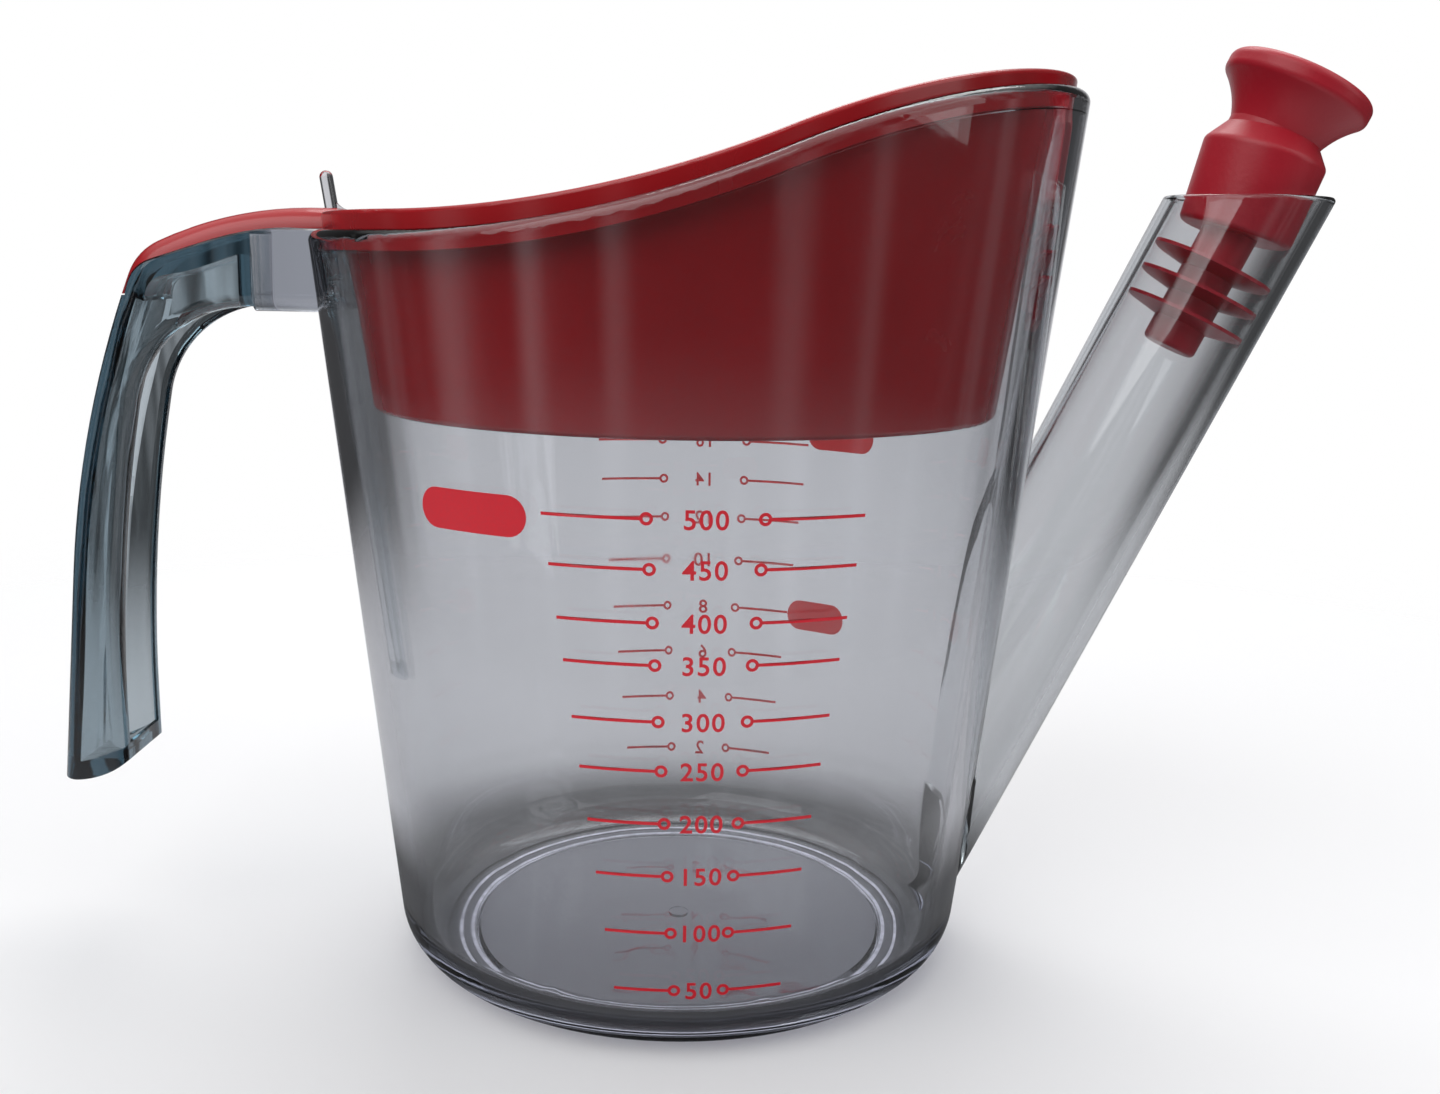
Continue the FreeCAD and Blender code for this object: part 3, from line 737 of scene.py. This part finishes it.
def walls_by_compass(tree, direction):
    """Colour of the walls, by the compass angle of a direction's three parts."""
    towards_camera = add_node(tree, "ShaderNodeMath", operation="MULTIPLY")
    towards_camera.inputs[1].default_value = -1.0
    compass = add_node(tree, "ShaderNodeMath", operation="ARCTAN2")
    turn = add_node(tree, "ShaderNodeMapRange", From_Min=-math.pi, From_Max=math.pi)
    walls = add_node(tree, "ShaderNodeValToRGB")
    walls.color_ramp.interpolation = "EASE"
    set_ramp(walls, wall_steps())
    wire(tree, direction.outputs["Y"], towards_camera.inputs[0])
    wire(tree, direction.outputs["X"], compass.inputs[0])
    wire(tree, towards_camera.outputs[0], compass.inputs[1])
    wire(tree, compass.outputs[0], turn.inputs["Value"])
    wire(tree, turn.outputs["Result"], walls.inputs[0])
    return walls.outputs["Color"]


print("room has", len(wall_steps()), "steps round its walls")

# %% [markdown]
# A second ramp goes from looking straight down to looking straight up. It holds a level: 0 is
# the dim space under the floor, a half is the walls, and 1 is the bright ceiling. Each half of
# that range then blends two of them.

# %% From floor to ceiling
CEILING = 0.9
UNDER = 0.2
HEIGHT_STEPS = [                  # from -1 straight down to 1 straight up, and the level there
    (-0.75, 0.0), (-0.45, 0.5), (0.45, 0.5), (0.7, 1.0),
]


def plain_grey(grey):
    return (grey, grey, grey, 1.0)


def room_by_height(tree, direction, walls):
    """Colour of the whole room: dim below, its walls round the middle, bright above."""
    rise = add_node(tree, "ShaderNodeMapRange", From_Min=-1.0)
    levels = add_node(tree, "ShaderNodeValToRGB")
    set_ramp(levels, [((height + 1.0) / 2.0, level) for height, level in HEIGHT_STEPS])
    below = add_node(tree, "ShaderNodeMapRange", From_Max=0.5)
    above = add_node(tree, "ShaderNodeMapRange", From_Min=0.5)
    low_part = add_node(tree, "ShaderNodeMix", data_type="RGBA")
    low_part.inputs["A"].default_value = plain_grey(UNDER)
    whole = add_node(tree, "ShaderNodeMix", data_type="RGBA")
    whole.inputs["B"].default_value = plain_grey(CEILING)
    wire(tree, direction.outputs["Z"], rise.inputs["Value"])
    wire(tree, rise.outputs["Result"], levels.inputs[0])
    wire(tree, levels.outputs["Color"], below.inputs["Value"])
    wire(tree, levels.outputs["Color"], above.inputs["Value"])
    wire(tree, below.outputs["Result"], low_part.inputs["Factor"])
    wire(tree, walls, low_part.inputs["B"])
    wire(tree, above.outputs["Result"], whole.inputs["Factor"])
    wire(tree, low_part.outputs["Result"], whole.inputs["A"])
    return whole.outputs["Result"]


print("room is dim below", HEIGHT_STEPS[0][0], "and bright above", HEIGHT_STEPS[-1][0])

# %% [markdown]
# The world joins the two. Rays that come straight from the camera see plain white instead, so
# the picture has a white background while the plastic still has dark sides to show.

# %% World
WHITE = plain_grey(1.0)


def studio_world():
    world = bpy.data.worlds.new("studio")
    world.use_nodes = True
    tree = world.node_tree
    tree.nodes.clear()
    looked_at = add_node(tree, "ShaderNodeTexCoord")
    direction = add_node(tree, "ShaderNodeSeparateXYZ")
    lit = add_node(tree, "ShaderNodeBackground", Strength=1.0)
    seen = add_node(tree, "ShaderNodeBackground", Color=WHITE, Strength=1.0)
    path = add_node(tree, "ShaderNodeLightPath")
    mix = add_node(tree, "ShaderNodeMixShader")
    output = add_node(tree, "ShaderNodeOutputWorld")
    wire(tree, looked_at.outputs["Generated"], direction.inputs[0])
    walls = walls_by_compass(tree, direction)
    wire(tree, room_by_height(tree, direction, walls), lit.inputs["Color"])
    wire(tree, path.outputs["Is Camera Ray"], mix.inputs[0])
    wire(tree, lit.outputs[0], mix.inputs[1])
    wire(tree, seen.outputs[0], mix.inputs[2])
    wire(tree, mix.outputs[0], output.inputs["Surface"])
    return world


bpy.context.scene.world = studio_world()
bpy.context.scene.view_settings.view_transform = "Standard"
print("world is", bpy.context.scene.world.name)

# %% [markdown]
# Three large soft lamps: one high on the left in front, one low on the right, and one overhead
# behind the jug, which lights the rim and the knob's top. They are large, so that what the
# plastic mirrors of them stays as soft as the boxes on the walls.

# %% Soft lamps
AIM = Vector((0.0, 0.0, 0.06))
LAMPS = {
    "key": ((-0.55, -0.7, 0.85), (1.1, 1.1), 6.0),
    "fill": ((0.9, -0.35, 0.45), (0.5, 0.9), 1.5),
    "top": ((0.1, 0.5, 1.0), (0.9, 0.6), 5.0),
}
for name, (place, size, power) in LAMPS.items():
    lamp_data = bpy.data.lights.new(name, "AREA")
    lamp_data.shape = "RECTANGLE"
    lamp_data.size, lamp_data.size_y = size
    lamp_data.energy = power
    lamp = bpy.data.objects.new(name, lamp_data)
    lamp.location = place
    lamp.rotation_euler = (AIM - Vector(place)).to_track_quat("-Z", "Y").to_euler()
    bpy.context.scene.collection.objects.link(lamp)
print("lamps", sorted(LAMPS))
